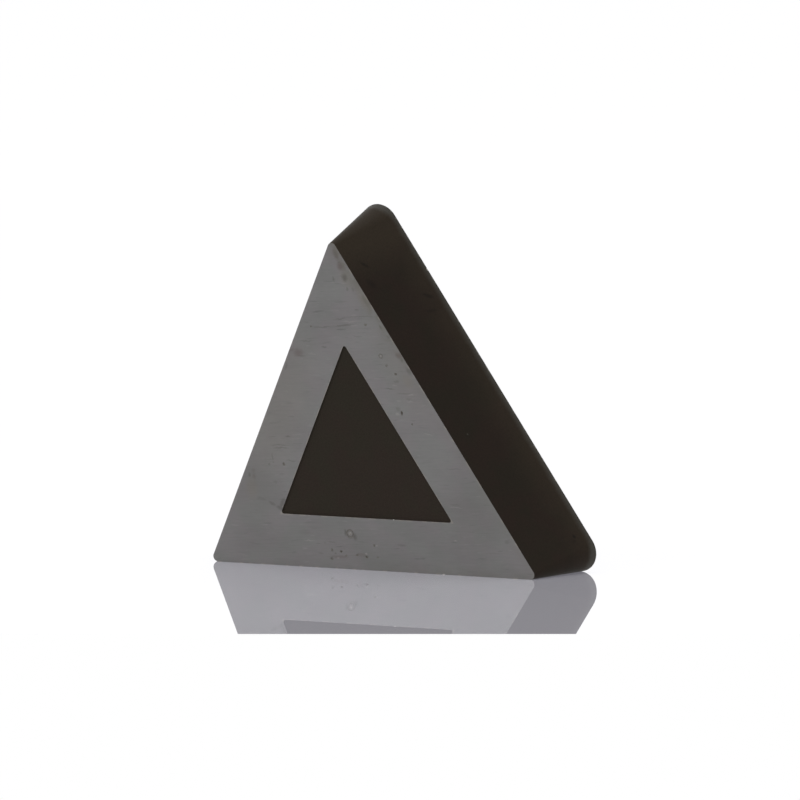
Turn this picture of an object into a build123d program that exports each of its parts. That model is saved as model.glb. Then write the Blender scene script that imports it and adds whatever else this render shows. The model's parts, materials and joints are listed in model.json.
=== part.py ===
from build123d import *
import os
from math import cos, radians, tan

# A triangular turning insert with clearance, pressed and sintered in one piece: one solid.
# Millimetres, +Z up. It stands on one of its three flanks, with the seat face towards -Y
# and the rake face towards +Y. The origin is on the surface it stands on, under the middle
# of the box round it.

# Driving dimensions
INSCRIBED_CIRCLE = 9.525  # diameter of the circle inside the cutting outline
THICKNESS = 3.18  # rake face to seat face
NOSE_RADIUS = 0.8  # corners of the cutting outline
CLEARANCE_ANGLE = 11.0  # lean of each flank towards the seat face, in degrees
EDGE_HONE = 0.04  # rounding of the cutting edge, between rake face and flanks

SEAT_BAND = 1.97  # width of the ground band round the seat face
RELIEF_DEPTH = 0.05  # how far the unground middle of the seat lies below the band
RELIEF_CORNER_RADIUS = 0.08  # corners of the relief, at its mouth and its floor
RELIEF_DRAFT = 30.0  # lean of the relief's wall, in degrees

# Worked out from them
CORNERS = 3
SEAT_INSET = THICKNESS * tan(radians(CLEARANCE_ANGLE))  # flank's run from rake to seat
SEAT_CIRCLE = INSCRIBED_CIRCLE - 2 * SEAT_INSET  # circle inside the seat outline
RELIEF_CIRCLE = SEAT_CIRCLE - 2 * SEAT_BAND  # circle inside the relief's mouth
RELIEF_INSET = RELIEF_DEPTH * tan(radians(RELIEF_DRAFT))  # wall's run from mouth to floor
RELIEF_FLOOR_CIRCLE = RELIEF_CIRCLE - 2 * RELIEF_INSET  # circle inside the relief's floor


def triangle(inscribed_circle, corner_radius):
    """An equilateral outline round a circle, one corner up, with rounded corners."""
    sharp = RegularPolygon(inscribed_circle / 2, CORNERS, major_radius=False, rotation=90)
    return fillet(sharp.vertices(), corner_radius)


def blank():
    """The rake face lies on the ground; the flanks lean in and the noses are cones."""
    outline = triangle(INSCRIBED_CIRCLE, NOSE_RADIUS)
    return extrude(outline, amount=THICKNESS, taper=CLEARANCE_ANGLE)


def hone(body):
    """The cutting edge, rounded all the way round the rake face."""
    rake_face = body.faces().sort_by(Axis.Z)[0]
    return fillet(rake_face.edges(), EDGE_HONE)


def seat_relief():
    """The sunk middle of the seat face: a drafted wall runs in from its mouth to its floor."""
    mouth = triangle(RELIEF_CIRCLE, RELIEF_CORNER_RADIUS)
    floor = triangle(RELIEF_FLOOR_CIRCLE, RELIEF_CORNER_RADIUS)
    levels = [Pos(0, 0, THICKNESS) * mouth, Pos(0, 0, THICKNESS - RELIEF_DEPTH) * floor]
    return loft(Sketch() + levels, ruled=True)


def stand(body):
    """Turn the insert up onto the flank opposite its upper nose, and set it over the origin."""
    turned = Rot(90 + CLEARANCE_ANGLE, 0, 0) * body
    flank_height = -INSCRIBED_CIRCLE / 2 * cos(radians(CLEARANCE_ANGLE))
    middle = turned.bounding_box().center()
    return Pos(-middle.X, -middle.Y, -flank_height) * turned


def insert_body():
    """The finished insert, standing as it rests."""
    return stand(hone(blank()) - seat_relief())


os.makedirs("parts", exist_ok=True)
export_step(insert_body(), "parts/insert_body.step")
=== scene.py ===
"""Finish and studio for a triangular carbide turning insert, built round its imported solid."""
import json
import logging
import math
from contextlib import contextmanager
from dataclasses import dataclass
from enum import Enum
from typing import Callable, Iterator

import bmesh
import bpy
from mathutils import Matrix, Vector

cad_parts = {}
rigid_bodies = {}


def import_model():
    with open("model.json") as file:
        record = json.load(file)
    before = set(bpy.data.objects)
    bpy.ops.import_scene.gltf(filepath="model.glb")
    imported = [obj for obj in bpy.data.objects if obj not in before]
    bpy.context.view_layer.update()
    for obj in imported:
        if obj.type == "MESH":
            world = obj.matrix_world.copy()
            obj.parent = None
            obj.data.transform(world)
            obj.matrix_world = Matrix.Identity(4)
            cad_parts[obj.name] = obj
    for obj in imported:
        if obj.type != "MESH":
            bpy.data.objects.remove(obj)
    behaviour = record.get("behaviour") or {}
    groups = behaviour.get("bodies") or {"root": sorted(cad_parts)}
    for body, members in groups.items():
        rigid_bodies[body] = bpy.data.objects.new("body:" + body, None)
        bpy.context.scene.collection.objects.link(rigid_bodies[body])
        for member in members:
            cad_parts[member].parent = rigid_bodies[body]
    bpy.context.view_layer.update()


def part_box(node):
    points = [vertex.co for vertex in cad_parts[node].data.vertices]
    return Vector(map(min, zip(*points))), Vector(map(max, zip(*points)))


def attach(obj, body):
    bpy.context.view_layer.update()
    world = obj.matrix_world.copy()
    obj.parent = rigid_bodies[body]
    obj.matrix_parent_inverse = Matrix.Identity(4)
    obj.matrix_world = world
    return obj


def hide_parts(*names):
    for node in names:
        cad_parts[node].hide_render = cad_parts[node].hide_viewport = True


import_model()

LOG = logging.getLogger("carbide_insert")
NODE = "insert_body"
BODY = "root"

MM = 0.001
SAME_LEVEL = 1e-5  # heights that differ by less, in millimetres, are one level
FACING = 0.99  # least part of a face's normal along the axis that it faces
SPOT_REACH = 0.65  # how far a painted spot fades out, as a share of its size
SPOT_PLATEAU = 0.85  # where in its fade a painted spot reaches its full strength
AIM_ACROSS = 1.295  # x of the point that the camera and the lamps face, in millimetres
AIM_UP = 6.234  # its z

Colour = tuple[float, float, float, float]
Point = tuple[float, float, float]
Socket = bpy.types.NodeSocket


class MarkKind(Enum):
    """What a mark on the insert is."""

    PIT = "pit"
    BEAD = "bead"
    CHIP = "chip"
    RUST = "rust"
    SOOT = "soot"
    FILM = "film"
    GLINT = "glint"


class Coat(Enum):
    """Material slots of the insert's mesh, in slot order."""

    SKIN = 0
    RELIEF = 1
    BAND = 2
    PORE = 3
    BEAD = 4
    BREAK = 5
    RAKE = 6


@dataclass(frozen=True)
class Mark:
    """One mark on a face.

    across and up are millimetres on the face from the middle of its lower edge, width and
    height the mark's sizes, strength the share of its colour or its depth in millimetres,
    and turn its turn on the face in degrees.
    """

    kind: MarkKind
    across: float
    up: float
    width: float
    height: float
    strength: float = 0.3
    turn: float = 0.0


@dataclass(frozen=True)
class Ease:
    """A smooth step from to_low at low to to_high at high, held beyond both."""

    low: float
    high: float
    to_low: float = 0.0
    to_high: float = 1.0


@dataclass(frozen=True)
class Cells:
    """Noise: its cells a millimetre along each axis, its octaves and their roughness."""

    along: Point
    detail: float = 2.0
    rough: float = 0.5


@dataclass(frozen=True)
class Waver:
    """An uneven shift: its cells a millimetre and its reach in millimetres."""

    cells: float
    reach: float


def even(cells: float, detail: float = 2.0, rough: float = 0.5) -> Cells:
    """Makes noise with as many cells along every axis."""
    return Cells((cells, cells, cells), detail, rough)


@dataclass(frozen=True)
class InsertForm:
    """The insert's sizes in millimetres, lying flat: rake face on z 0, seat face on top."""

    inscribed_circle: float = 9.525
    thickness: float = 3.18
    nose_radius: float = 0.8
    clearance: float = math.radians(11.0)
    edge_hone: float = 0.04
    seat_break: float = 0.012
    seat_band: float = 1.97
    relief_depth: float = 0.05
    relief_corner: float = 0.08
    relief_draft: float = math.radians(30.0)
    corners: int = 3

    @property
    def seat_inset(self) -> float:
        """How far the flanks run in from the rake face to the seat face."""
        return self.thickness * math.tan(self.clearance)

    @property
    def seat_circle(self) -> float:
        """Diameter of the circle inside the seat outline."""
        return self.inscribed_circle - 2 * self.seat_inset

    @property
    def seat_nose(self) -> float:
        """Radius of the noses where they reach the seat face."""
        return self.nose_radius - self.seat_inset

    @property
    def relief_circle(self) -> float:
        """Diameter of the circle inside the relief's mouth."""
        return self.seat_circle - 2 * self.seat_band

    @property
    def relief_floor_circle(self) -> float:
        """Diameter of the circle inside the relief's floor."""
        return self.relief_circle - 2 * self.relief_depth * math.tan(self.relief_draft)

    @property
    def seat_edge(self) -> float:
        """Flat y of the seat face's lower straight edge."""
        return -self.seat_circle / 2

    def corner_points(self, circle: float, radius: float) -> list[Vector]:
        """Centres of the rounded corners of a triangle round a circle.

        Args:
            circle: Diameter of the inscribed circle.
            radius: Corner radius.

        Returns:
            One point a corner, on z 0, the first towards +Y.
        """
        reach = circle - 2 * radius
        turns = (math.radians(90 + 360 * k / self.corners) for k in range(self.corners))
        return [Vector((reach * math.cos(a), reach * math.sin(a), 0)) for a in turns]

    def side_normals(self) -> list[Vector]:
        """Level directions from the middle towards the three sides, the lower one first."""
        turns = (math.radians(-90 + 360 * k / self.corners) for k in range(self.corners))
        return [Vector((math.cos(a), math.sin(a), 0)) for a in turns]

    def reach(self, point: Vector) -> float:
        """Level distance of a point from the middle, towards its nearest side."""
        return max(point.dot(side) for side in self.side_normals())


@dataclass(frozen=True)
class Standing:
    """How the flat insert stands up on its flank in the part's own frame."""

    form: InsertForm
    low: Vector

    @property
    def to_row(self) -> Matrix:
        """Works out how flat millimetres become standing metres.

        Returns:
            The matrix, which sets the seat face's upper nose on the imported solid's front.
        """
        form = self.form
        turn = Matrix.Rotation(math.pi / 2 + form.clearance, 4, "X")
        rake_edge = turn @ Vector((0, -form.inscribed_circle / 2, 0))
        nose = turn @ Vector((0, form.seat_circle - form.seat_nose, form.thickness))
        shift = Vector((0, self.low.y / MM - nose.y, -rake_edge.z))
        return Matrix.Scale(MM, 4) @ Matrix.Translation(shift) @ turn

    @property
    def seat_to_flat(self) -> Matrix:
        """Matrix from across, up and out on the seat face to flat millimetres."""
        return Matrix.Translation((0, self.form.seat_edge, self.form.thickness))

    @property
    def flank_to_flat(self) -> Matrix:
        """Works out how places on the right flank become flat millimetres.

        Returns:
            The matrix. across runs down the flank's seat edge from its upper end, up runs
            from that edge to the rake face, and the third axis points out of the flank.
        """
        form = self.form
        top = Vector((0, form.seat_circle, form.thickness))
        side = form.side_normals()[1]
        out = side * math.cos(form.clearance) + Vector((0, 0, math.sin(form.clearance)))
        along = Vector((side.y, -side.x, 0))
        axes = Matrix((along, out.cross(along), out)).transposed().to_4x4()
        return Matrix.Translation(top) @ axes


@contextmanager
def editing(piece: bpy.types.Object) -> Iterator[None]:
    """Opens a piece in edit mode with nothing selected, and closes it again.

    Args:
        piece: The mesh object to edit.

    Returns:
        A context in which edit operators act on the piece alone.
    """
    choose(piece)
    bpy.ops.object.mode_set(mode="EDIT")
    bpy.ops.mesh.select_all(action="DESELECT")
    yield
    bpy.ops.object.mode_set(mode="OBJECT")


def choose(*pieces: bpy.types.Object) -> None:
    """Selects these objects and nothing else.

    Args:
        pieces: The objects, the last of which becomes the active one.
    """
    for other in bpy.context.scene.objects:
        other.select_set(False)
    for piece in pieces:
        piece.select_set(True)
    bpy.context.view_layer.objects.active = pieces[-1]


def pick_faces(piece: bpy.types.Object, test: Callable[[bmesh.types.BMFace], bool]) -> None:
    """Selects the faces that pass a test, in edit mode.

    Args:
        piece: The object in edit mode.
        test: Says whether a face is wanted.
    """
    bpy.ops.mesh.select_mode(type="FACE")
    mesh = bmesh.from_edit_mesh(piece.data)
    for face in mesh.faces:
        face.select_set(test(face))
    bmesh.update_edit_mesh(piece.data)


def pick_level_edges(piece: bpy.types.Object, level: float) -> None:
    """Selects the edges that lie on a level, in edit mode.

    Args:
        piece: The object in edit mode.
        level: The level's z.
    """
    bpy.ops.mesh.select_all(action="DESELECT")
    bpy.ops.mesh.select_mode(type="EDGE")
    mesh = bmesh.from_edit_mesh(piece.data)
    for edge in mesh.edges:
        edge.select_set(all(abs(end.co.z - level) < SAME_LEVEL for end in edge.verts))
    bmesh.update_edit_mesh(piece.data)


def join(pieces: list[bpy.types.Object], name: str) -> bpy.types.Object:
    """Joins objects into one mesh and names it.

    Args:
        pieces: The objects, of which the last one stays.
        name: Its new name.

    Returns:
        The joined object.
    """
    choose(*pieces)
    if len(pieces) > 1:
        bpy.ops.object.join()
    joined = bpy.context.view_layer.objects.active
    joined.name = joined.data.name = name
    return joined


def settle(piece: bpy.types.Object) -> None:
    """Puts an object's place, turn and size into its mesh."""
    choose(piece)
    bpy.ops.object.transform_apply(location=True, rotation=True, scale=True)


def combine(piece: bpy.types.Object, tool: bpy.types.Object, operation: str) -> None:
    """Applies a boolean of another object to a piece and removes that object.

    Args:
        piece: The piece that is changed.
        tool: The object that cuts or adds.
        operation: DIFFERENCE or UNION.
    """
    modifier = piece.modifiers.new("Combine", "BOOLEAN")
    modifier.operation = operation
    modifier.solver = "EXACT"
    modifier.use_self = True
    modifier.object = tool
    choose(piece)
    bpy.ops.object.modifier_apply(modifier=modifier.name)
    bpy.data.objects.remove(tool)


class Graph:
    """A short way to write the nodes of a material or a world."""

    def __init__(self, tree: bpy.types.NodeTree) -> None:
        """Starts on an emptied node tree."""
        tree.nodes.clear()
        self.tree = tree

    def add(self, kind: str, **values: object) -> bpy.types.Node:
        """Adds a node and sets its properties.

        Args:
            kind: The node's type name.
            values: Its properties by name.

        Returns:
            The node.
        """
        node = self.tree.nodes.new(kind)
        for name, value in values.items():
            setattr(node, name, value)
        return node

    def feed(self, socket: Socket, value: object) -> None:
        """Links a socket to another node's output, or sets its value.

        Args:
            socket: The input to feed.
            value: The output to link, or the value to set.
        """
        if isinstance(value, bpy.types.NodeSocket):
            self.tree.links.new(value, socket)
        else:
            socket.default_value = value

    def feed_all(self, node: bpy.types.Node, values: dict[str, object]) -> bpy.types.Node:
        """Feeds several inputs of a node.

        Args:
            node: The node.
            values: What each input is fed with, by the input's name.

        Returns:
            The same node.
        """
        for name, value in values.items():
            self.feed(node.inputs[name], value)
        return node

    def math(self, operation: str, a: object, b: object = 0.0) -> Socket:
        """Works out a Math node of two values.

        Args:
            operation: The node's operation.
            a: The first value.
            b: The second value.

        Returns:
            The result's socket.
        """
        node = self.add("ShaderNodeMath", operation=operation)
        self.feed(node.inputs[0], a)
        self.feed(node.inputs[1], b)
        return node.outputs[0]

    def vector(self, operation: str, a: object, b: object = (0, 0, 0)) -> Socket:
        """Works out a Vector Math node of two vectors.

        Args:
            operation: The node's operation.
            a: The first vector.
            b: The second vector.

        Returns:
            The result's socket, a value for LENGTH and DOT_PRODUCT.
        """
        node = self.add("ShaderNodeVectorMath", operation=operation)
        self.feed(node.inputs[0], a)
        self.feed(node.inputs[1], b)
        return node.outputs["Value" if operation in ("LENGTH", "DOT_PRODUCT") else "Vector"]

    def axes(self, place: object) -> bpy.types.NodeOutputs:
        """Splits coordinates into their three axes.

        Args:
            place: The coordinates.

        Returns:
            One socket an axis.
        """
        node = self.add("ShaderNodeSeparateXYZ")
        self.feed(node.inputs[0], place)
        return node.outputs

    def ramp(self, value: object, ease: Ease) -> Socket:
        """Eases a value from one range to another, held at both ends.

        Args:
            value: The socket or number to map.
            ease: The two ranges.

        Returns:
            The mapped value's socket.
        """
        node = self.add("ShaderNodeMapRange", clamp=True, interpolation_type="SMOOTHSTEP")
        numbers = (value, ease.low, ease.high, ease.to_low, ease.to_high)
        for socket, number in zip(node.inputs, numbers):
            self.feed(socket, number)
        return node.outputs[0]

    def blend(self, share: object, a: object, b: object, way: str = "MIX") -> Socket:
        """Mixes two colours by a share.

        Args:
            share: The second colour's share.
            a: The first colour.
            b: The second colour.
            way: How they mix.

        Returns:
            The mixed colour's socket.
        """
        node = self.add("ShaderNodeMix", data_type="RGBA", blend_type=way)
        self.feed(node.inputs[0], share)
        self.feed(node.inputs[6], a)
        self.feed(node.inputs[7], b)
        return node.outputs[2]

    def noise(self, place: object, cells: Cells, output: str = "Fac") -> Socket:
        """Samples noise whose cells are stretched along the axes.

        Args:
            place: Coordinates in millimetres.
            cells: The noise's cells.
            output: Fac for a value or Color for three of them.

        Returns:
            The noise's socket, around 0.5.
        """
        node = self.add("ShaderNodeTexNoise")
        self.feed_all(node, {
            "Vector": self.vector("MULTIPLY", place, cells.along), "Scale": 1.0,
            "Detail": cells.detail, "Roughness": cells.rough})
        return node.outputs[output]

    def place(self, from_row: Matrix) -> Socket:
        """Turns the object's own coordinates by a matrix.

        Args:
            from_row: Matrix from standing metres to the wanted coordinates.

        Returns:
            The coordinates' socket.
        """
        mapping = self.add("ShaderNodeMapping", vector_type="POINT")
        self.feed_all(mapping, {
            "Vector": self.add("ShaderNodeTexCoord").outputs["Object"],
            "Location": from_row.to_translation(), "Rotation": from_row.to_euler(),
            "Scale": from_row.to_scale()})
        return mapping.outputs[0]

    def shift(self, place: object, waver: Waver) -> Socket:
        """Shifts coordinates about by noise, so that an outline on them turns uneven.

        Args:
            place: Coordinates in millimetres.
            waver: How finely and how far they are shifted.

        Returns:
            The shifted coordinates' socket.
        """
        colour = self.noise(place, even(waver.cells), output="Color")
        centred = self.vector("SUBTRACT", colour, (0.5, 0.5, 0.5))
        return self.vector("ADD", place,
                           self.vector("MULTIPLY", centred, (2 * waver.reach,) * 3))

    def spots(self, place: object, marks: list[Mark], kind: MarkKind) -> object:
        """Lays the marks of a kind as soft-edged ellipses, the strongest winning.

        Args:
            place: Coordinates on the face, in millimetres.
            marks: The marks to choose from.
            kind: The kind to lay.

        Returns:
            A share from 0 to 1, as a socket, or 0 with no such marks.
        """
        total: object = 0.0
        for mark in (each for each in marks if each.kind is kind):
            ball = self.add("ShaderNodeTexGradient", gradient_type="SPHERICAL")
            self.feed(ball.inputs["Vector"], place)
            ball.texture_mapping.vector_type = "TEXTURE"
            ball.texture_mapping.translation = (mark.across, mark.up, 0)
            ball.texture_mapping.rotation = (0, 0, math.radians(mark.turn))
            ball.texture_mapping.scale = (SPOT_REACH * mark.width, SPOT_REACH * mark.height, 1)
            fade = Ease(0.0, SPOT_PLATEAU, 0.0, mark.strength)
            total = self.math("MAXIMUM", total, self.ramp(ball.outputs["Fac"], fade))
        return total

    def bump(self, height: object, depth: float) -> Socket:
        """Turns a height into a bumped normal.

        Args:
            height: The height, from 0 to 1.
            depth: What a height of 1 stands for, in millimetres.

        Returns:
            The normal's socket.
        """
        node = self.add("ShaderNodeBump")
        self.feed_all(node, {"Distance": depth * MM, "Height": height})
        return node.outputs[0]

    def finish(self, **values: object) -> None:
        """Makes the material's Principled shader and links it to the output.

        Args:
            values: What its inputs are fed with, by name, with _ for a space.
        """
        shader = self.add("ShaderNodeBsdfPrincipled")
        self.feed_all(shader, {name.replace("_", " "): value for name, value in values.items()})
        self.show(shader)

    def show(self, shader: bpy.types.Node) -> None:
        """Links a shader to the material's output."""
        self.feed(self.add("ShaderNodeOutputMaterial").inputs[0], shader.outputs[0])


def new_material(name: str) -> tuple[bpy.types.Material, Graph]:
    """Makes an empty node material.

    Args:
        name: Its name.

    Returns:
        The material and the graph that fills it.
    """
    material = bpy.data.materials.new(name)
    material.use_nodes = True
    return material, Graph(material.node_tree)


@dataclass(frozen=True)
class WearAndHighlight:
    """Paler tones towards the cutting edge and the noses, in flat millimetres: partly rubbing
    from handling, partly painted highlight of grazing light on the edge, hone and noses, and
    painted light from above on the upper nose.
    """

    # colours of the paler tones: each partly rubbing from handling, partly painted highlight
    handled_and_lit: Colour = (0.0282, 0.0213, 0.0146, 1)
    rubbed_and_highlight: Colour = (0.0620, 0.0590, 0.0515, 1)
    bare_highlight: Colour = (0.1500, 0.1450, 0.1250, 1)
    wander: Cells = even(0.9, 3)
    wander_reach: float = 0.9
    handled_edge: Ease = Ease(-0.4, 1.8, 0.85, 0.0)
    handled_nose: Ease = Ease(6.3, 8.4)
    # painted light from above: the nose tone grows towards the upper nose
    lit_upper_nose: Ease = Ease(-4.0, 7.5, 0.1, 1.3)
    ragged: Cells = even(3.0, 3)
    ragged_reach: float = 0.12
    rubbed_highlight_nose: Ease = Ease(8.1, 8.9, 0.0, 0.25)
    rubbed_highlight_edge: Ease = Ease(0.06, 0.41, 0.82, 0.0)
    broken: Cells = even(4.0, 3)
    broken_share: Ease = Ease(0.54, 0.62)
    bare_highlight_edge: Ease = Ease(0.045, 0.09, 1.0, 0.0)

    def lay(self, graph: Graph, place: object, tone: object) -> Socket:
        """Lays the paler tones and their painted highlights over a colour.

        Args:
            graph: The material's graph.
            place: Flat coordinates in millimetres.
            tone: The skin's own colour.

        Returns:
            The colour's socket, paler by rubbing and painted highlight.
        """
        _, up, rise = graph.axes(place)
        from_middle = graph.vector("LENGTH", graph.vector("MULTIPLY", place, (1, 1, 0)))
        wander = graph.math("SUBTRACT", graph.noise(place, self.wander), 0.5)
        from_edge = graph.math("ADD", rise, graph.math("MULTIPLY", wander, self.wander_reach))
        # paler towards the cutting edge and on the noses: rubbing from handling, with painted
        # highlight
        edge = graph.ramp(from_edge, self.handled_edge)
        # the nose term grows towards the upper nose: painted light from above
        nose = graph.math("MULTIPLY", graph.ramp(from_middle, self.handled_nose),
                          graph.ramp(up, self.lit_upper_nose))
        tone = graph.blend(graph.math("MAXIMUM", edge, nose), tone, self.handled_and_lit)
        # pale rim along the cutting edge, wider at the noses: painted highlight of grazing
        # light, with rubbing
        ragged = graph.math("MULTIPLY", graph.noise(place, self.ragged), self.ragged_reach)
        ragged = graph.math("SUBTRACT", ragged, graph.ramp(from_middle, self.rubbed_highlight_nose))
        rub_and_highlight = graph.ramp(graph.math("ADD", rise, ragged), self.rubbed_highlight_edge)
        tone = graph.blend(rub_and_highlight, tone, self.rubbed_and_highlight)
        # broken pale strip on the hone: painted highlight, where the coating is also worn
        # through
        broken = graph.ramp(graph.noise(place, self.broken), self.broken_share)
        strip = graph.ramp(rise, self.bare_highlight_edge)
        return graph.blend(graph.math("MULTIPLY", strip, broken), tone, self.bare_highlight)


@dataclass(frozen=True)
class SinteredSkin:
    """Dark, fine-grained skin of the faces left as sintered."""

    name: str = "sintered_skin"
    olive: Colour = (0.0158, 0.0125, 0.0087, 1)
    brown: Colour = (0.0178, 0.0121, 0.0091, 1)
    soot: Colour = (0.0070, 0.0060, 0.0050, 1)
    glint: Colour = (0.0620, 0.0590, 0.0515, 1)
    wear_and_highlight: WearAndHighlight | None = None
    cloud: Cells = even(0.7, 4, 0.6)
    drift: float = 0.0
    brown_share: Ease = Ease(0.38, 0.62)
    grain: Cells = even(16.0, 4, 0.6)
    grain_level: Ease = Ease(0.25, 0.75, 0.88, 1.12)
    grain_depth: float = 0.0015
    roughness: Ease = Ease(0.3, 0.7, 0.42, 0.56)
    mark_waver: Waver = Waver(7.0, 0.04)
    specular: float = 0.035
    sheen: float = 0.13
    sheen_roughness: float = 0.35

    def make(self, standing: Standing, marks: list[Mark]) -> bpy.types.Material:
        """Builds the material.

        Args:
            standing: How the insert stands, for patterns on its own faces.
            marks: Dark and pale marks on the right flank.

        Returns:
            The material.
        """
        material, graph = new_material(self.name)
        place = graph.place(standing.to_row.inverted())
        slope = graph.vector("DOT_PRODUCT", place, (self.drift, -self.drift, 0))
        cloud = graph.math("ADD", graph.noise(place, self.cloud), slope)
        tone = graph.blend(graph.ramp(cloud, self.brown_share), self.olive, self.brown)
        # paler edges and noses, partly painted highlight
        if self.wear_and_highlight:
            tone = self.wear_and_highlight.lay(graph, place, tone)
        grain = graph.noise(place, self.grain)
        tone = graph.blend(1.0, tone, graph.ramp(grain, self.grain_level), "MULTIPLY")
        on_flank = graph.place((standing.to_row @ standing.flank_to_flat).inverted())
        on_flank = graph.shift(on_flank, self.mark_waver)
        for kind, colour in ((MarkKind.SOOT, self.soot), (MarkKind.GLINT, self.glint)):
            tone = graph.blend(graph.spots(on_flank, marks, kind), tone, colour)
        graph.finish(
            Base_Color=tone, Roughness=graph.ramp(grain, self.roughness),
            Specular_IOR_Level=self.specular, Sheen_Weight=self.sheen,
            Sheen_Roughness=self.sheen_roughness, Normal=graph.bump(grain, self.grain_depth))
        return material


@dataclass(frozen=True)
class ArrisHighlight:
    """Painted highlight: a bright, broken line along a border of the ground band, where light
    catches its edge.
    """

    gap: float
    strength: float
    width: float = 0.05
    whole_part: float = 0.3
    cells: Cells = even(3.0, 3)
    fade: float = 0.12

    def share(self, graph: Graph, place: object, distance: object) -> Socket:
        """Works out where the painted highlight on the edge is bright.

        Args:
            graph: The material's graph.
            place: Coordinates on the face.
            distance: How far a place lies from the border.

        Returns:
            The painted highlight's share.
        """
        near = Ease(self.whole_part * self.width, self.width, self.strength, 0.0)
        broken = graph.ramp(graph.noise(place, self.cells), Ease(self.gap, self.gap + self.fade))
        return graph.math("MULTIPLY", graph.ramp(distance, near), broken)


@dataclass(frozen=True)
class Crust:
    """Old coolant crust, thickest along the band's outer border by the upper corner."""

    tone: Colour = (0.1180, 0.1120, 0.0980, 1)
    cells: Cells = even(1.8, 3, 0.6)
    patches: Ease = Ease(0.36, 0.58, 0.25, 1.0)
    near: Ease = Ease(0.02, 0.5, 1.0, 0.0)
    high: Ease = Ease(6.6, 10.0, 0.2, 0.65)
    right: Ease = Ease(-0.3, 0.1)

    def share(self, graph: Graph, place: object, distance: object) -> Socket:
        """Works out where the crust lies.

        Args:
            graph: The material's graph.
            place: Coordinates on the seat face.
            distance: How far a place lies from the outer border.

        Returns:
            The crust's share.
        """
        across, up, _ = graph.axes(place)
        patches = graph.ramp(graph.noise(place, self.cells), self.patches)
        share = graph.math("MULTIPLY", patches, graph.ramp(distance, self.near))
        share = graph.math("MULTIPLY", share, graph.ramp(across, self.right))
        return graph.math("MULTIPLY", share, graph.ramp(up, self.high))


@dataclass(frozen=True)
class WheelLines:
    """Lines of the grinding wheel: long faint ones, short dashes, and the busy areas."""

    turn: float = math.radians(3.0)
    long: Cells = Cells((0.35, 20.0, 1.0), 3, 0.6)
    short: Cells = Cells((1.6, 13.0, 1.0), 3, 0.6)
    long_part: float = 0.4
    short_part: float = 0.6
    level: Ease = Ease(0.30, 0.70, 0.945, 1.055)
    dark: Cells = Cells((1.1, 8.0, 1.0), 2)
    dark_level: Ease = Ease(0.27, 0.38, -0.17, 0.0)
    light: Cells = Cells((1.5, 10.0, 1.0), 2)
    light_level: Ease = Ease(0.63, 0.75, 0.0, 0.14)
    busy: Cells = even(0.7, 2)
    busy_share: Ease = Ease(0.40, 0.60, 0.35, 1.0)

    def height(self, graph: Graph, along: object) -> Socket:
        """Works out the lines' height.

        Args:
            graph: The material's graph.
            along: Coordinates on the seat face, turned along the lines.

        Returns:
            A height around 0.5.
        """
        long = graph.math("MULTIPLY", graph.noise(along, self.long), self.long_part)
        short = graph.math("MULTIPLY", graph.noise(along, self.short), self.short_part)
        return graph.math("ADD", long, short)

    def tone(self, graph: Graph, place: object, along: object, height: object) -> Socket:
        """Works out how the lines, and dark and light dashes among them, change the grey.

        Args:
            graph: The material's graph.
            place: Coordinates on the seat face.
            along: The same, turned along the lines.
            height: The lines' height.

        Returns:
            A factor around 1.
        """
        dark = graph.ramp(graph.noise(along, self.dark), self.dark_level)
        light = graph.ramp(graph.noise(along, self.light), self.light_level)
        busy = graph.ramp(graph.noise(place, self.busy), self.busy_share)
        dashes = graph.math("MULTIPLY", graph.math("ADD", dark, light), busy)
        return graph.math("ADD", graph.ramp(height, self.level), dashes)


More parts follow.
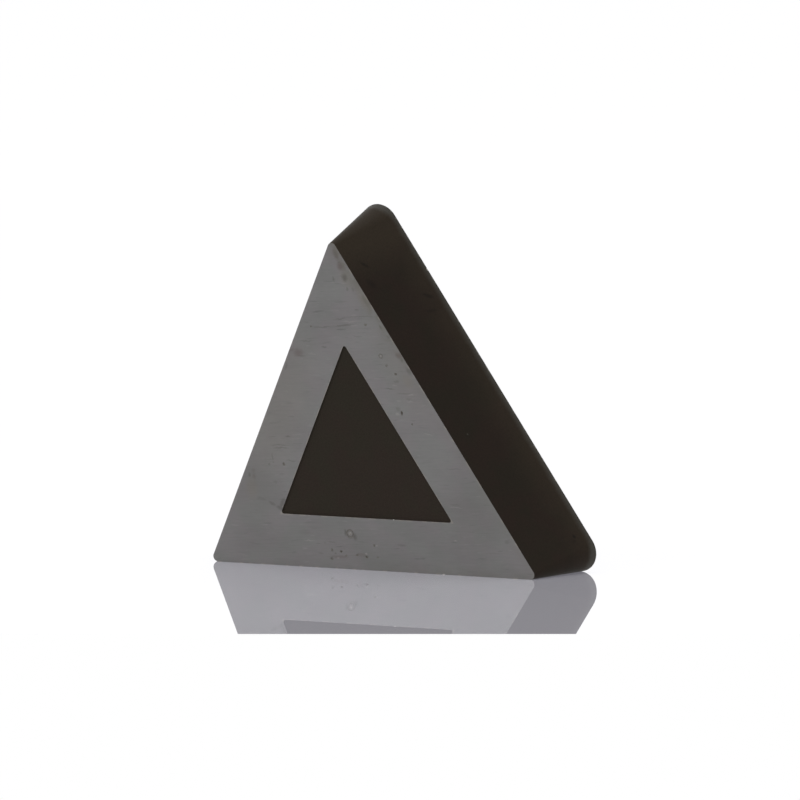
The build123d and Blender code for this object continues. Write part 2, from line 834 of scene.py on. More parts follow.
@dataclass(frozen=True)
class GroundBand:
    """Bare carbide ground flat, with the wheel's short lines and old stains."""

    name: str = "ground_band"
    warm: Colour = (0.1560, 0.1495, 0.1515, 1)
    cool: Colour = (0.1505, 0.1500, 0.1480, 1)
    film: Colour = (0.1570, 0.1485, 0.1390, 1)
    rust: Colour = (0.1070, 0.0890, 0.0880, 1)
    # dark colour of stains, and of the painted shade round the bead and on the lower corners
    soot: Colour = (0.0620, 0.0590, 0.0520, 1)
    glint: Colour = (0.2600, 0.2550, 0.2460, 1)
    # painted highlight along the band's borders, where light catches its edges
    arris_highlight: Colour = (0.2500, 0.2260, 0.1980, 1)
    outer_arris_highlight: ArrisHighlight = ArrisHighlight(gap=0.50, strength=0.45)
    inner_arris_highlight: ArrisHighlight = ArrisHighlight(gap=0.44, strength=0.40)
    crust: Crust = Crust()
    lines: WheelLines = WheelLines()
    line_depth: float = 0.0012
    roughness: Ease = Ease(0.3, 0.7, 0.36, 0.46)
    fields: Cells = even(0.8, 3)
    warm_share: Ease = Ease(0.4, 0.6)
    # painted shade: darker towards the band's foot, near the floor
    foot_shade: Ease = Ease(0.5, 7.0, 0.95, 1.0)
    cloud: Cells = Cells((0.5, 0.9, 0.5), 3)
    cloud_level: Ease = Ease(0.3, 0.7, 0.96, 1.04)
    fine_waver: Waver = Waver(9.0, 0.035)
    broad_waver: Waver = Waver(2.2, 0.07)

    def make(self, standing: Standing, marks: list[Mark]) -> bpy.types.Material:
        """Builds the material.

        Args:
            standing: How the insert stands.
            marks: The marks on the band; its stains, painted shade and glints are painted.

        Returns:
            The material.
        """
        material, graph = new_material(self.name)
        on_seat = (standing.to_row @ standing.seat_to_flat).inverted()
        place = graph.place(on_seat)
        along = graph.place(Matrix.Rotation(-self.lines.turn, 4, "Z") @ on_seat)
        height = self.lines.height(graph, along)
        tone = self._metal(graph, place, marks)
        lined = self.lines.tone(graph, place, along, height)
        tone = graph.blend(1.0, tone, lined, "MULTIPLY")
        loose = graph.shift(graph.shift(place, self.fine_waver), self.broad_waver)
        for kind, colour in ((MarkKind.RUST, self.rust), (MarkKind.SOOT, self.soot),
                             (MarkKind.GLINT, self.glint)):
            tone = graph.blend(graph.spots(loose, marks, kind), tone, colour)
        outer, inner = self._borders(graph, place, standing.form)
        tone = graph.blend(self.crust.share(graph, place, outer), tone, self.crust.tone)
        # painted highlights along the outer and inner borders
        tone = graph.blend(self.outer_arris_highlight.share(graph, place, outer), tone, self.arris_highlight)
        tone = graph.blend(self.inner_arris_highlight.share(graph, place, inner), tone, self.arris_highlight)
        graph.finish(Base_Color=tone, Metallic=1.0, Roughness=graph.ramp(height, self.roughness),
                     Normal=graph.bump(height, self.line_depth))
        return material

    def _metal(self, graph: Graph, place: object, marks: list[Mark]) -> Socket:
        """Greys the uncoated metal, in warmer and cooler fields, with painted shade darkening it
        towards its foot.

        Args:
            graph: The material's graph.
            place: Coordinates on the seat face.
            marks: The marks on the band, of which the films count here.

        Returns:
            The colour's socket.
        """
        warm = graph.ramp(graph.noise(place, self.fields), self.warm_share)
        tone = graph.blend(warm, self.cool, self.warm)
        tone = graph.blend(graph.spots(place, marks, MarkKind.FILM), tone, self.film)
        _, up, _ = graph.axes(place)
        cloud = graph.ramp(graph.noise(place, self.cloud), self.cloud_level)
        # painted shade towards the foot, times a random cloud
        level = graph.math("MULTIPLY", graph.ramp(up, self.foot_shade), cloud)
        return graph.blend(1.0, tone, level, "MULTIPLY")

    def _borders(self, graph: Graph, place: object, form: InsertForm) -> tuple[Socket, Socket]:
        """Works out how far a place lies from the band's borders.

        Args:
            graph: The material's graph.
            place: Coordinates on the seat face.
            form: The insert's sizes.

        Returns:
            The distances from the outer and the inner border.
        """
        centred = graph.vector("ADD", place, (0, form.seat_edge, 0))
        reach: object = -1.0
        for side in form.side_normals():
            reach = graph.math("MAXIMUM", reach, graph.vector("DOT_PRODUCT", centred, side))
        outer = graph.math("SUBTRACT", form.seat_circle / 2, reach)
        inner = graph.math("SUBTRACT", reach, form.relief_circle / 2)
        return outer, inner


@dataclass(frozen=True)
class Pore:
    """Dull inside of a pit, darkened with its depth by painted shade, or the bright grain of a
    fresh break.
    """

    name: str
    tone: Colour
    deep_shade: Colour
    roughness: float
    deep_shade_share: Ease = Ease(-0.013, -0.004, 1.0, 0.0)
    grain: Cells = even(20.0, 3)
    grain_level: Ease = Ease(0.3, 0.7, 0.8, 1.2)

    def make(self, standing: Standing) -> bpy.types.Material:
        """Builds the material.

        Args:
            standing: How the insert stands, so that painted shade darkens a pit with its depth.

        Returns:
            The material.
        """
        material, graph = new_material(self.name)
        place = graph.place((standing.to_row @ standing.seat_to_flat).inverted())
        _, _, out = graph.axes(place)
        # painted shade: a pit darkens with its depth below the seat face
        tone = graph.blend(graph.ramp(out, self.deep_shade_share), self.tone, self.deep_shade)
        grain = graph.ramp(graph.noise(place, self.grain), self.grain_level)
        tone = graph.blend(1.0, tone, grain, "MULTIPLY")
        graph.finish(Base_Color=tone, Metallic=1.0, Roughness=self.roughness)
        return material


@dataclass(frozen=True)
class MarkShapes:
    """Meshes of the pits, beads and chips; most sizes are shares of the mark's own."""

    ball_detail: int = 3
    side_turn: float = 35.0
    side_step: float = 0.4
    side_width: float = 0.6
    side_height: float = 0.5
    side_depth: float = 0.6
    groove_radius: float = 0.36
    groove_tube: float = 0.16
    groove_facets: int = 36
    tube_facets: int = 16
    dome_radius: float = 0.24

    def bowl(self, mark: Mark, base: Matrix) -> bpy.types.Object:
        """Makes the cutter of a shallow bowl: the lower quarter of a flat ellipsoid.

        Args:
            mark: The pit, with its depth as its strength.
            base: Matrix from the face to flat millimetres.

        Returns:
            The settled cutter.
        """
        cap = math.sqrt(3) / 2  # width of the ball at half its radius from the middle
        size = (mark.width / 2 / cap, mark.height / 2 / cap, 2 * mark.strength)
        return self._ball(base @ Matrix.Translation((mark.across, mark.up, mark.strength))
                          @ Matrix.Rotation(math.radians(mark.turn), 4, "Z"), size)

    def side_bowl(self, mark: Mark, base: Matrix) -> bpy.types.Object:
        """Makes the cutter of the smaller bowl that runs into a pit's side.

        Args:
            mark: The pit.
            base: Matrix from the face to flat millimetres.

        Returns:
            The settled cutter.
        """
        turn = math.radians(mark.turn + self.side_turn)
        step = self.side_step * mark.width
        side = Mark(MarkKind.PIT, mark.across + step * math.cos(turn),
                    mark.up + step * math.sin(turn), self.side_width * mark.width,
                    self.side_height * mark.height, self.side_depth * mark.strength, mark.turn)
        return self.bowl(side, base)

    def groove(self, mark: Mark, base: Matrix) -> bpy.types.Object:
        """Makes the cutter of the shallow groove round a bead.

        Args:
            mark: The bead, with the groove's depth as its strength.
            base: Matrix from the face to flat millimetres.

        Returns:
            The settled cutter.
        """
        tube = mark.width * self.groove_tube
        bpy.ops.mesh.primitive_torus_add(
            major_segments=self.groove_facets, minor_segments=self.tube_facets,
            major_radius=mark.width * self.groove_radius, minor_radius=tube)
        groove = bpy.context.object
        groove.matrix_world = base @ Matrix.Translation(
            (mark.across, mark.up, tube - mark.strength))
        settle(groove)
        return groove

    def dome(self, mark: Mark, base: Matrix) -> bpy.types.Object:
        """Makes the low dome in the middle of a bead.

        Args:
            mark: The bead.
            base: Matrix from the face to flat millimetres.

        Returns:
            The settled dome.
        """
        reach = mark.width * self.dome_radius
        return self._ball(base @ Matrix.Translation((mark.across, mark.up, -mark.strength)),
                          (reach, reach, 2 * mark.strength))

    def _ball(self, place: Matrix, size: Point) -> bpy.types.Object:
        """Makes a stretched ball.

        Args:
            place: Where it lies, in flat millimetres.
            size: Its half axes.

        Returns:
            The settled ball.
        """
        bpy.ops.mesh.primitive_ico_sphere_add(subdivisions=self.ball_detail, radius=1)
        ball = bpy.context.object
        ball.matrix_world = place @ Matrix.Diagonal((*size, 1))
        settle(ball)
        return ball


@dataclass
class TurningInsert:
    """The one-piece insert: its detailed mesh and its finishes."""

    form: InsertForm
    standing: Standing
    seat_marks: list[Mark]
    flank_marks: list[Mark]
    name: str = "turning_insert"
    shapes: MarkShapes = MarkShapes()
    nose_facets: int = 96
    relief_facets: int = 36
    hone_facets: int = 4
    seat_break_facets: int = 2
    flat_angle: float = math.radians(0.3)
    smooth_angle: float = math.radians(28.0)
    bead_top: float = 0.003
    least_depth: float = 1e-4
    past_face: float = 0.001
    break_reach: float = 0.02
    chip_reach: float = 0.55
    skin: SinteredSkin = SinteredSkin(wear_and_highlight=WearAndHighlight())
    # the same sintered skin, lightened to make up for the shade in the recess: painted light
    relief_lit_skin: SinteredSkin = SinteredSkin(
        name="relief_lit_skin", olive=(0.0272, 0.0230, 0.0172, 1),
        brown=(0.0287, 0.0218, 0.0174, 1), drift=0.02, sheen=0.0)
    rake_skin: SinteredSkin = SinteredSkin(name="rake_skin")
    band: GroundBand = GroundBand()
    # its second colour is the painted shade at a pit's bottom
    pore: Pore = Pore("open_pore", (0.130, 0.123, 0.115, 1), (0.082, 0.076, 0.067, 1), 0.5)
    # lighter than the band: painted highlight on the bead's dome
    bead: Pore = Pore("sintering_bead_highlight", (0.190, 0.182, 0.170, 1), (0.190, 0.182, 0.170, 1), 0.4)
    fresh_break: Pore = Pore("fresh_break", (0.38, 0.37, 0.35, 1), (0.38, 0.37, 0.35, 1), 0.35)

    def build(self) -> bpy.types.Object:
        """Models, dresses and places the insert.

        Returns:
            The finished piece, in the part's own frame.
        """
        body = self._blank()
        self._hone(body)
        combine(body, self._relief(), "DIFFERENCE")
        self._cut_marks(body)
        self._dress(body)
        self._smooth(body)
        body.matrix_world = self.standing.to_row
        settle(body)
        return body

    def _hull(self, corners: list[Vector], levels: tuple[float, float],
              radii: tuple[float, float], facets: int, name: str) -> bpy.types.Object:
        """Wraps the hull round three upright truncated cones.

        Args:
            corners: The cones' axes.
            levels: z of their lower and upper ends.
            radii: Radius at the lower and the upper end.
            facets: Facets of a full circle.
            name: The new object's name.

        Returns:
            A closed mesh with flat faces between the cones.
        """
        low, high = levels
        cones = []
        for corner in corners:
            bpy.ops.mesh.primitive_cone_add(
                vertices=facets, radius1=radii[0], radius2=radii[1], depth=high - low,
                location=corner + Vector((0, 0, (low + high) / 2)))
            cones.append(bpy.context.object)
        hull = join(cones, name)
        settle(hull)
        with editing(hull):
            bpy.ops.mesh.select_all(action="SELECT")
            bpy.ops.mesh.convex_hull(join_triangles=False)
            bpy.ops.mesh.select_all(action="SELECT")
            bpy.ops.mesh.dissolve_limited(angle_limit=self.flat_angle)
        return hull

    def _blank(self) -> bpy.types.Object:
        """Makes the pressed body.

        Returns:
            A body with flat flanks and conical noses.
        """
        form = self.form
        corners = form.corner_points(form.inscribed_circle, form.nose_radius)
        return self._hull(corners, (0, form.thickness), (form.nose_radius, form.seat_nose),
                          self.nose_facets, self.name)

    def _hone(self, body: bpy.types.Object) -> None:
        """Rounds the cutting edge and breaks the seat face's edge.

        Args:
            body: The body.
        """
        form = self.form
        wedge = math.pi / 2 - form.clearance
        hone_width = form.edge_hone / math.tan(wedge / 2)
        with editing(body):
            pick_level_edges(body, 0.0)
            bpy.ops.mesh.bevel(offset=hone_width, segments=self.hone_facets, profile=0.5)
            pick_level_edges(body, form.thickness)
            bpy.ops.mesh.bevel(offset=form.seat_break, segments=self.seat_break_facets,
                               profile=0.5)

    def _relief(self) -> bpy.types.Object:
        """Makes the cutter for the seat relief.

        Returns:
            A drafted cutter that rises past the seat face.
        """
        form = self.form
        corners = form.corner_points(form.relief_floor_circle, form.relief_corner)
        levels = (form.thickness - form.relief_depth, form.thickness)
        cutter = self._hull(corners, levels, (form.relief_corner, form.relief_corner),
                            self.relief_facets, "relief_cutter")
        growth = form.relief_circle / form.relief_floor_circle
        with editing(cutter):
            pick_faces(cutter, lambda face: face.normal.z > FACING)
            bpy.ops.transform.resize(value=(growth, growth, 1), center_override=(0, 0, 0))
            bpy.ops.mesh.extrude_region_move(
                TRANSFORM_OT_translate={"value": (0, 0, form.relief_depth)})
        return cutter

    def _placed_marks(self) -> Iterator[tuple[Mark, Matrix]]:
        """Goes through all marks.

        Returns:
            Each mark, with the matrix from its face to flat millimetres.
        """
        for mark in self.seat_marks:
            yield mark, self.standing.seat_to_flat
        for mark in self.flank_marks:
            yield mark, self.standing.flank_to_flat

    def _cut_marks(self, body: bpy.types.Object) -> None:
        """Sinks the pits, grooves and chips and raises the beads.

        Args:
            body: The body.
        """
        cutters = []
        domes = []
        for mark, base in self._placed_marks():
            if mark.kind in (MarkKind.PIT, MarkKind.CHIP):
                cutters.append(self.shapes.bowl(mark, base))
            if mark.kind is MarkKind.PIT:
                cutters.append(self.shapes.side_bowl(mark, base))
            elif mark.kind is MarkKind.BEAD:
                cutters.append(self.shapes.groove(mark, base))
                domes.append(self.shapes.dome(mark, base))
        if cutters:
            combine(body, join(cutters, "mark_cutter"), "DIFFERENCE")
        if domes:
            combine(body, join(domes, "bead_domes"), "UNION")

    def _dress(self, body: bpy.types.Object) -> None:
        """Gives each face its finish, by its place on the flat insert.

        Args:
            body: The body, still lying flat.
        """
        standing = self.standing
        coats = {
            Coat.SKIN: self.skin.make(standing, self.flank_marks),
            Coat.RELIEF: self.relief_lit_skin.make(standing, []),
            Coat.BAND: self.band.make(standing, self.seat_marks),
            Coat.PORE: self.pore.make(standing),
            Coat.BEAD: self.bead.make(standing),
            Coat.BREAK: self.fresh_break.make(standing),
            Coat.RAKE: self.rake_skin.make(standing, []),
        }
        for coat in Coat:
            body.data.materials.append(coats[coat])
        for face in body.data.polygons:
            face.material_index = self._coat(face.center, face.normal).value

    def _coat(self, centre: Vector, normal: Vector) -> Coat:
        """Chooses the finish of a face.

        Args:
            centre: The face's middle, in flat millimetres.
            normal: Its normal.

        Returns:
            The material slot.
        """
        form = self.form
        if self._near_chip(centre):
            return Coat.BREAK
        if normal.z < -FACING:
            return Coat.RAKE
        depth = form.thickness - centre.z
        reach = form.reach(centre)
        past_border = reach - form.seat_circle / 2
        if depth > form.relief_depth + self.past_face or past_border > self.past_face:
            return Coat.SKIN
        if depth < -self.bead_top:
            return Coat.BEAD
        if reach < form.relief_circle / 2 and depth > self.least_depth:
            return Coat.RELIEF
        on_break = depth < form.seat_break and past_border > -self.break_reach
        return Coat.BAND if depth < self.least_depth or on_break else Coat.PORE

    def _near_chip(self, centre: Vector) -> bool:
        """Says whether a face lies in one of the chips.

        Args:
            centre: The face's middle, in flat millimetres.

        Returns:
            Whether it does.
        """
        return any(
            (centre - base @ Vector((mark.across, mark.up, 0))).length
            < mark.width * self.chip_reach
            for mark, base in self._placed_marks() if mark.kind is MarkKind.CHIP)

    def _smooth(self, body: bpy.types.Object) -> None:
        """Smooths the noses and the hone and keeps the flat faces flat.

        Args:
            body: The body.
        """
        choose(body)
        bpy.ops.object.shade_smooth_by_angle(angle=self.smooth_angle)
        weighted = body.modifiers.new("Weighted", "WEIGHTED_NORMAL")
        weighted.keep_sharp = True
        bpy.ops.object.modifier_apply(modifier=weighted.name)


@dataclass(frozen=True)
class WhiteSheet:
    """Glossy white sheet under the insert, which mirrors more the flatter it is seen."""

    size: float = 4.0
    front: float = 0.0210
    turn: float = math.radians(-7.4)
    paper: Colour = (0.88, 0.88, 0.90, 1)
    seen_tint: Colour = (0.86, 0.85, 1.0, 1)
    bounce_tint: Colour = (1.0, 0.98, 0.96, 1)
    glow: float = 0.4
    glow_strength: Ease = Ease(0.0, 1.0, 0.82, 1.53)
    mirror_tint: Colour = (1, 1, 1, 1)
    mirror_power: float = 2.2

    def lay(self, azimuth: float) -> None:
        """Lays the sheet with its front edge a little in front of the insert.

        Args:
            azimuth: The camera's azimuth, which the sheet nearly follows.
        """
        turn = azimuth + self.turn
        middle = self.size / 2 - self.front
        bpy.ops.mesh.primitive_plane_add(
            size=self.size, rotation=(0, 0, turn),
            location=(-math.sin(turn) * middle, math.cos(turn) * middle, 0))
        floor = bpy.context.object
        floor.name = "floor"
        floor.data.materials.append(self._material())

    def _material(self) -> bpy.types.Material:
        """Builds the sheet's material.

        Returns:
            Matt paper with a glow that whitens it to the camera, under a mirror.
        """
        material, graph = new_material("white_sheet")
        facing = graph.add("ShaderNodeLayerWeight")
        graph.feed(facing.inputs["Blend"], 0.5)
        matt = graph.add("ShaderNodeBsdfDiffuse")
        graph.feed(matt.inputs["Color"], self.paper)
        seen = graph.add("ShaderNodeLightPath").outputs["Is Camera Ray"]
        glow = graph.feed_all(graph.add("ShaderNodeEmission"), {
            "Color": graph.blend(seen, self.bounce_tint, self.seen_tint),
            "Strength": graph.ramp(seen, self.glow_strength)})
        mirror = graph.feed_all(graph.add("ShaderNodeBsdfGlossy"), {
            "Color": self.mirror_tint, "Roughness": 0.0})
        white = self._mix(graph, self.glow, matt, glow)
        share = graph.math("POWER", facing.outputs["Facing"], self.mirror_power)
        graph.show(self._mix(graph, share, white, mirror))
        return material

    def _mix(self, graph: Graph, share: object, first: bpy.types.Node,
             second: bpy.types.Node) -> bpy.types.Node:
        """Mixes two shaders.

        Args:
            graph: The material's graph.
            share: The second shader's share.
            first: The first shader.
            second: The second shader.

        Returns:
            The mixed shader.
        """
        mix = graph.add("ShaderNodeMixShader")
        for socket, value in zip(mix.inputs, (share, first.outputs[0], second.outputs[0])):
            graph.feed(socket, value)
        return mix


@dataclass(frozen=True)
class Softbox:
    """A square softbox: its place and side in metres and its power in watts."""

    name: str
    place: Point
    size: float
    power: float

    def hang(self, target: Vector) -> None:
        """Hangs the softbox so that it faces a point.

        Args:
            target: The point.
        """
        lamp = bpy.data.lights.new(self.name, "AREA")
        lamp.shape = "SQUARE"
        lamp.size = self.size
        lamp.energy = self.power
        holder = bpy.data.objects.new(self.name, lamp)
        bpy.context.scene.collection.objects.link(holder)
        holder.location = self.place
        aim = target - Vector(self.place)
        holder.rotation_euler = aim.to_track_quat("-Z", "Y").to_euler()


@dataclass(frozen=True)
class LongCamera:
    """Camera far off, low and to the right, with a long lens."""

    azimuth: float = math.radians(34.64)
    elevation: float = math.radians(5.25)
    roll: float = math.radians(-0.82)
    distance: float = 0.4448
    lens: float = 556.1
    sensor: float = 36.0
    clip_start: float = 0.01

    def stand(self, target: Vector) -> None:
        """Stands the camera so that it looks at a point.

        Args:
            target: The point.
        """
        flat = math.cos(self.elevation)
        back = Vector((math.sin(self.azimuth) * flat, -math.cos(self.azimuth) * flat,
                       math.sin(self.elevation)))
        right = (-back).cross(Vector((0, 0, 1))).normalized()
        up = right.cross(-back)
        rolled_right = right * math.cos(self.roll) + up * math.sin(self.roll)
        rolled_up = up * math.cos(self.roll) - right * math.sin(self.roll)
        data = bpy.data.cameras.new("camera")
        data.lens = self.lens
        data.sensor_width = self.sensor
        data.clip_start = self.clip_start
        camera = bpy.data.objects.new("camera", data)
        bpy.context.scene.collection.objects.link(camera)
        pose = Matrix((rolled_right, rolled_up, back)).transposed().to_4x4()
        pose.translation = target + back * self.distance
        camera.matrix_world = pose
        bpy.context.scene.camera = camera


@dataclass(frozen=True)
class Studio:
    """White sheet, light from all round, soft lamps and the camera."""

    target: Vector
    sheet: WhiteSheet = WhiteSheet()
    overhead: Softbox = Softbox("overhead_softbox", (0.1, -0.1, 1.0), 1.0, 5.5)
    front: Softbox = Softbox("front_softbox", (-0.5, -0.8, 0.5), 0.6, 1.5)
    camera: LongCamera = LongCamera()
    backdrop: Colour = (1, 1, 1, 1)
    ambient: Ease = Ease(0.0, 1.0, 0.53, 1.0)

    def build(self) -> None:
        """Sets up everything that isn't the insert."""
        self.sheet.lay(self.camera.azimuth)
        self._light_world()
        self.overhead.hang(self.target)
        self.front.hang(self.target)
        self.camera.stand(self.target)
        bpy.context.scene.view_settings.view_transform = "Standard"

    def _light_world(self) -> None:
        """Lights softly from all round, and shows white to the camera and in reflections."""
        world = bpy.data.worlds.new("studio")
        world.use_nodes = True
        bpy.context.scene.world = world
        graph = Graph(world.node_tree)
        rays = graph.add("ShaderNodeLightPath").outputs
        seen = graph.math("MAXIMUM", rays["Is Camera Ray"], rays["Is Glossy Ray"])
        seen = graph.math("MAXIMUM", seen, rays["Is Transmission Ray"])
        background = graph.feed_all(graph.add("ShaderNodeBackground"), {
            "Color": self.backdrop, "Strength": graph.ramp(seen, self.ambient)})
        graph.feed(graph.add("ShaderNodeOutputWorld").inputs[0], background.outputs[0])


def apex_stains() -> list[Mark]:
    """Lists the old coolant stains under the seat face's upper corner.

    Returns:
        The stains.
    """
    soot, rust, film = MarkKind.SOOT, MarkKind.RUST, MarkKind.FILM
    return [
        Mark(film, 0.45, 10.95, 0.6, 0.9, 0.7, 20),
        Mark(film, 1.1, 10.2, 0.5, 1.2, 0.8, 27),
        Mark(rust, 0.15, 11.85, 0.3, 0.55, 0.7, 15),
        Mark(soot, 0.15, 11.85, 0.2, 0.4, 0.35, 10),
        Mark(rust, 0.3, 11.4, 0.4, 0.35, 0.8),
        Mark(soot, 0.25, 11.55, 0.15, 0.1, 0.35),
        Mark(soot, 0.4, 11.0, 0.28, 0.36, 0.55, 5),
        Mark(soot, -0.1, 10.9, 0.12, 0.22, 0.3),
        Mark(soot, 0.45, 10.55, 0.12, 0.15, 0.3),
        Mark(soot, 0.7, 10.55, 0.12, 0.2, 0.25),
        Mark(soot, 1.2, 10.15, 0.22, 0.6, 0.3, 27),
        Mark(soot, 1.4, 9.95, 0.1, 0.2, 0.35, 27),
        Mark(soot, 0.75, 9.8, 0.2, 0.1, 0.25),
        Mark(soot, 1.7, 9.2, 0.12, 0.2, 0.5, 25),
        Mark(soot, 1.95, 8.85, 0.1, 0.2, 0.35, 25),
        Mark(rust, 2.35, 8.15, 0.35, 0.25, 0.8),
        Mark(soot, 2.45, 8.0, 0.15, 0.2, 0.45),
        Mark(soot, 2.7, 7.6, 0.2, 0.4, 0.4, 27),
        Mark(film, 2.6, 7.2, 0.6, 0.8, 0.8, 27),
    ]


def limb_stains() -> list[Mark]:
    """Lists the stains on the left and right limbs of the band, and the painted shade on their
    lower ends.

    Returns:
        The stains and the painted shade.
    """
    soot, rust, film = MarkKind.SOOT, MarkKind.RUST, MarkKind.FILM
    return [
        Mark(film, -3.2, 6.0, 2.6, 6.5, 0.5, -27),
        Mark(film, 2.3, 7.5, 1.4, 4.0, 0.3, 27),
        # painted shade: broad faint darkening of the band's lower corners
        Mark(soot, 4.6, 2.2, 2.6, 3.0, 0.16),
        Mark(soot, -4.9, 2.4, 2.6, 3.8, 0.13, -20),
        Mark(soot, -4.6, 0.9, 3.6, 1.6, 0.08),
        Mark(rust, -2.05, 8.1, 0.5, 0.35, 0.6),
        Mark(rust, -2.35, 8.2, 0.4, 0.15, 0.35, 20),
        Mark(soot, -2.7, 7.55, 0.1, 0.35, 0.3, -28),
        Mark(soot, -3.8, 4.1, 0.08, 0.35, 0.3),
        Mark(soot, -4.0, 3.8, 0.12, 0.12, 0.35),
        Mark(soot, -3.8, 3.9, 0.12, 0.08, 0.3),
        Mark(soot, -3.0, 4.0, 0.5, 0.06, 0.25),
        Mark(soot, -4.95, 3.4, 0.12, 0.25, 0.4),
        Mark(rust, -4.75, 3.35, 0.2, 0.25, 0.45),
        Mark(rust, -4.75, 3.55, 0.2, 0.2, 0.3),
        Mark(film, -4.9, 2.9, 0.6, 1.0, 0.8, -10),
        Mark(soot, -3.8, 3.15, 0.2, 0.2, 0.2),
        Mark(soot, -4.55, 2.5, 0.6, 0.18, 0.3, -8),
        Mark(soot, -4.1, 2.35, 0.45, 0.2, 0.4, -20),
        Mark(soot, -3.75, 2.2, 0.4, 0.22, 0.45, -20),
        Mark(soot, -3.65, 2.35, 0.2, 0.6, 0.45, -30),
        Mark(soot, 2.0, 6.15, 0.22, 0.2, 0.25),
        Mark(soot, 6.05, 1.35, 0.25, 0.2, 0.25, 20),
    ]


def foot_stains() -> list[Mark]:
    """Lists the smudges round the pores at the band's foot, the painted shade on the bead's
    sides, and glints.

    Returns:
        The smudges and the painted shade, and the glints among them.
    """
    soot, rust, glint = MarkKind.SOOT, MarkKind.RUST, MarkKind.GLINT
    return [
        # painted shade: dark crescents on the bead's sides
        Mark(soot, -1.0, 1.4, 0.16, 0.3, 0.45),
        Mark(soot, -0.6, 1.25, 0.2, 0.3, 0.5, 20),
        Mark(soot, -0.8, 1.2, 0.3, 0.12, 0.35),
        Mark(rust, -1.4, 0.45, 0.9, 0.14, 0.45),
        Mark(soot, -1.75, 0.4, 0.15, 0.12, 0.4),
        Mark(soot, -1.7, 0.7, 0.12, 0.15, 0.4),
        Mark(soot, -1.55, 0.6, 0.12, 0.1, 0.3),
        Mark(glint, -1.45, 0.42, 0.15, 0.08, 0.3),
        Mark(rust, -0.4, 0.55, 0.6, 0.2, 0.35),
        Mark(soot, -0.2, 0.5, 0.15, 0.1, 0.4),
        Mark(glint, -0.2, 0.62, 0.12, 0.1, 0.4),
        Mark(soot, 0.2, 0.95, 0.1, 0.12, 0.3),
        Mark(glint, 0.3, 0.95, 0.14, 0.08, 0.35),
        Mark(soot, 0.3, 0.5, 0.12, 0.1, 0.25),
        Mark(soot, -1.95, 0.95, 0.15, 0.1, 0.2),
        Mark(soot, -1.65, 1.0, 0.35, 0.06, 0.25),
        Mark(soot, -2.2, 0.55, 0.3, 0.06, 0.25),
        Mark(soot, -2.8, 1.3, 0.7, 0.25, 0.12, 2),
    ]


def wheel_lines() -> list[Mark]:
    """Lists the deeper lines that the wheel left, and the bright ones beside them.

    Returns:
        The lines.
    """
    soot, glint = MarkKind.SOOT, MarkKind.GLINT
    return [
        Mark(soot, -0.85, 9.1, 1.1, 0.07, 0.3, 1),
        Mark(soot, 0.05, 9.2, 1.1, 0.07, 0.35, 6),
        Mark(soot, 0.0, 9.45, 0.7, 0.06, 0.3, 8),
        Mark(soot, 0.9, 9.55, 1.5, 0.05, 0.25, 3),
        Mark(glint, 0.35, 9.35, 0.9, 0.06, 0.2, 3),
        Mark(soot, -1.65, 8.55, 0.7, 0.05, 0.3),
        Mark(soot, -0.9, 8.35, 0.25, 0.07, 0.4),
        Mark(soot, 0.65, 8.8, 0.45, 0.06, 0.25),
        Mark(soot, -3.0, 4.9, 0.25, 0.08, 0.5, -5),
        Mark(soot, -3.4, 4.55, 0.9, 0.05, 0.35, 2),
        Mark(soot, -3.4, 4.45, 0.8, 0.06, 0.35, 2),
        Mark(soot, 1.75, 6.9, 0.5, 0.06, 0.35),
        Mark(soot, 2.35, 6.75, 0.7, 0.06, 0.25),
        Mark(soot, 2.1, 7.2, 0.25, 0.12, 0.25),
        Mark(soot, 2.55, 6.55, 0.25, 0.1, 0.2),
        Mark(glint, 2.65, 6.7, 0.3, 0.06, 0.35),
        Mark(glint, 2.6, 6.45, 0.25, 0.06, 0.25),
        Mark(glint, 2.0, 7.05, 0.25, 0.06, 0.2),
        Mark(glint, 1.97, 5.95, 0.22, 0.13, 0.3),
        Mark(soot, 2.6, 5.75, 0.25, 0.05, 0.2),
        Mark(glint, 3.2, 5.25, 0.45, 0.05, 0.25),
        Mark(soot, 4.1, 4.0, 0.8, 0.06, 0.2, 2),
        Mark(soot, 4.0, 2.65, 0.65, 0.06, 0.35, 2),
        Mark(glint, 4.0, 2.55, 0.65, 0.05, 0.25, 2),
        Mark(glint, 3.8, 1.3, 0.2, 0.05, 0.35, 2),
        Mark(soot, 5.1, 1.65, 1.0, 0.06, 0.2, 2),
        Mark(soot, 5.3, 0.9, 1.0, 0.07, 0.15, 2),
        Mark(glint, -2.6, 1.0, 0.55, 0.05, 0.3, 2),
    ]


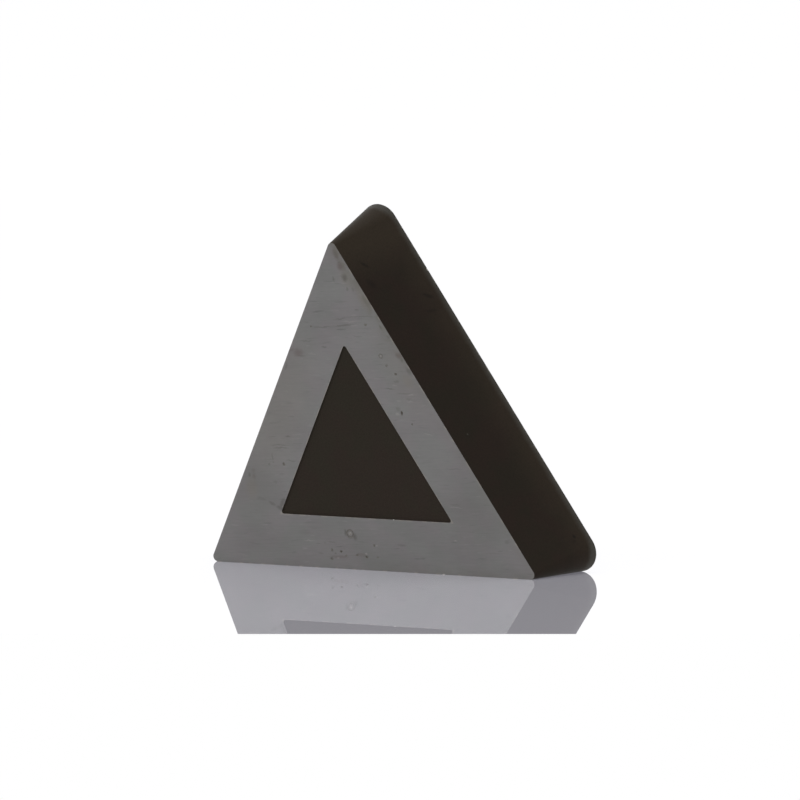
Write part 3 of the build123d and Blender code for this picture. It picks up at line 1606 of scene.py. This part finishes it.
def seat_pits() -> list[Mark]:
    """Lists the pits, beads and chips on the seat face.

    Returns:
        The marks, in the order in which they are cut.
    """
    pit, bead, chip = MarkKind.PIT, MarkKind.BEAD, MarkKind.CHIP
    return [
        Mark(bead, -0.8, 1.35, 0.38, 0.38, 0.008),
        Mark(bead, 1.55, 8.1, 0.22, 0.22, 0.005),
        Mark(pit, 2.15, 6.0, 0.09, 0.18, 0.018),
        Mark(pit, 2.1, 7.45, 0.12, 0.1, 0.012),
        Mark(pit, 1.75, 7.75, 0.1, 0.1, 0.004),
        Mark(pit, 2.55, 5.6, 0.08, 0.07, 0.008),
        Mark(pit, 1.05, 9.25, 0.12, 0.09, 0.006, -10),
        Mark(pit, -1.35, 9.1, 0.1, 0.07, 0.008),
        Mark(pit, -3.35, 3.85, 0.12, 0.13, 0.009, 50),
        Mark(pit, -1.3, 0.65, 0.11, 0.1, 0.014, -15),
        Mark(pit, -1.7, 0.7, 0.09, 0.1, 0.008, 40),
        Mark(pit, -1.75, 0.35, 0.12, 0.08, 0.008, -20),
        Mark(pit, -1.1, 0.5, 0.1, 0.05, 0.006, 10),
        Mark(pit, -0.6, 0.55, 0.16, 0.06, 0.009, 10),
        Mark(pit, -0.2, 0.5, 0.11, 0.1, 0.012, -35),
        Mark(pit, 0.2, 0.95, 0.1, 0.1, 0.006, 20),
        Mark(pit, 0.3, 0.5, 0.08, 0.06, 0.006),
        Mark(chip, 3.1, 0.0, 0.12, 0.05, 0.020),
        Mark(chip, 1.2, 1.97, 0.07, 0.04, 0.012),
    ]


def flank_marks() -> list[Mark]:
    """Lists the marks on the right flank, measured from its upper seat corner.

    Returns:
        The marks.
    """
    soot, glint, chip = MarkKind.SOOT, MarkKind.GLINT, MarkKind.CHIP
    return [
        Mark(soot, 1.4, 0.72, 0.5, 0.14, 0.55, 37),
        Mark(soot, 2.15, 0.55, 0.55, 0.35, 0.4, 30),
        Mark(soot, 3.45, 2.55, 0.6, 0.18, 0.5, 50),
        Mark(soot, 4.0, 2.35, 0.15, 0.6, 0.35, -15),
        Mark(soot, 13.6, 2.55, 0.16, 0.14, 0.8),
        Mark(soot, 13.75, 2.4, 0.2, 0.24, 0.25),
        Mark(chip, 2.6, 3.2, 0.12, 0.06, 0.020),
        Mark(glint, 8.55, 0.75, 0.09, 0.07, 0.6),
    ]


def main() -> None:
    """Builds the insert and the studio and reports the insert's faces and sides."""
    logging.basicConfig(level=logging.INFO, format="%(name)s: %(message)s")
    low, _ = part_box(NODE)
    form = InsertForm()
    standing = Standing(form, low)
    seat_marks = (apex_stains() + limb_stains() + foot_stains() + wheel_lines()
                  + seat_pits())
    insert = TurningInsert(form, standing, seat_marks, flank_marks()).build()
    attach(insert, BODY)
    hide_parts(NODE)
    LOG.info("%s: %d faces, sides %s mm", insert.name, len(insert.data.polygons),
             [round(side / MM, 3) for side in insert.dimensions])
    seat_middle = standing.to_row @ Vector((0, form.seat_edge, form.thickness))
    Studio(Vector((AIM_ACROSS * MM, seat_middle.y, AIM_UP * MM))).build()


if __name__ == "__main__":
    main()
